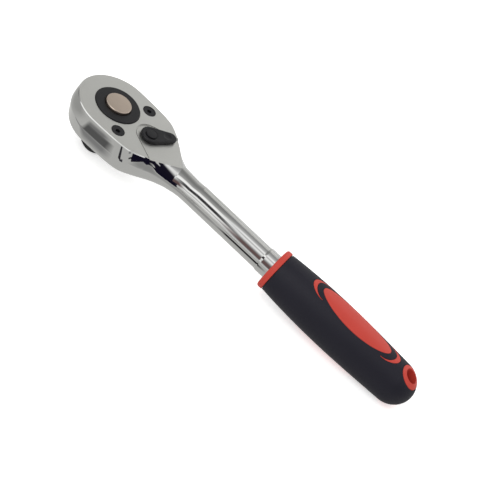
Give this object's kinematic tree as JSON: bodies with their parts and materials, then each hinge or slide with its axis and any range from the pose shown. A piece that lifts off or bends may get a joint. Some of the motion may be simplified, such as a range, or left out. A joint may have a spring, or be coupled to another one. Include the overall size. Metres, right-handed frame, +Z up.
{
  "type": "socket ratchet",
  "caption": "Reversible socket ratchet with a square drive, quick-release button, thumb lever, chromed egg-shaped head and round shank, and a two-colour grip with a hanging eye.",
  "frame": {"origin": "middle of the end face of the square drive, on the drive axis", "axes": "+Z up the drive axis to the release button, +X along the handle to the grip's end, +Y across the head"},
  "size_m": [0.2509, 0.0484, 0.0397],
  "materials": {
    "chrome_plate": "polished chrome plate, satin on the flat top of the head",
    "black_oxide": "black oxide on steel, satin",
    "bright_steel": "bright ground steel",
    "satin_nickel": "satin nickel",
    "red_plastic": "moulded, fine satin",
    "black_rubber": "moulded soft rubber, matt"
  },
  "bodies": {
    "handle": {"ratchet_body": "chrome_plate", "cover_plate": "chrome_plate", "cover_screw_left": "black_oxide", "cover_screw_right": "black_oxide", "gear_thrust_washer": "bright_steel", "pawl_pin": "bright_steel", "grip_core": "red_plastic", "grip_sleeve": "black_rubber"},
    "drive": {"drive_gear": "black_oxide", "button_spring": "bright_steel"},
    "button": {"release_button": "satin_nickel"},
    "ball": {"detent_ball": "bright_steel"},
    "lever": {"reverse_lever": "black_oxide", "lever_seal_ring": "black_rubber", "lever_retaining_ring": "bright_steel", "lever_detent_pin": "bright_steel", "lever_detent_spring": "bright_steel"},
    "pawl_rocker": {"pawl": "bright_steel"}
  },
  "joints": [
    {"name": "drive_spin", "type": "hinge", "parent": "handle", "child": "drive", "pos_m": [0, 0, 0], "axis": [0, 0, 1], "continuous": true},
    {"name": "button_push", "type": "slide", "parent": "drive", "child": "button", "axis": [0, 0, -1], "range_m": [0, 0.0025], "stiffness_N_per_m": 2000, "springref_m": -0.002, "deforming": ["button_spring"]},
    {"name": "ball_retract", "type": "slide", "parent": "drive", "child": "ball", "axis": [-1, 0, 0], "range_m": [0, 0.0009]},
    {"name": "lever_throw", "type": "hinge", "parent": "handle", "child": "lever", "pos_m": [0.02493, 0, 0.0335], "axis": [0, 0, 1], "range_deg": [-106, 0]},
    {"name": "pawl_rock", "type": "hinge", "parent": "handle", "child": "pawl_rocker", "pos_m": [0.01758, 0, 0.0228], "axis": [0, 0, 1], "range_deg": [0, 9]}
  ],
  "couplings": [
    {"joint": "ball_retract", "follows": "button_push", "ratio": 0.36},
    {"joint": "pawl_rock", "follows": "lever_throw", "ratio": -0.084906}
  ]
}
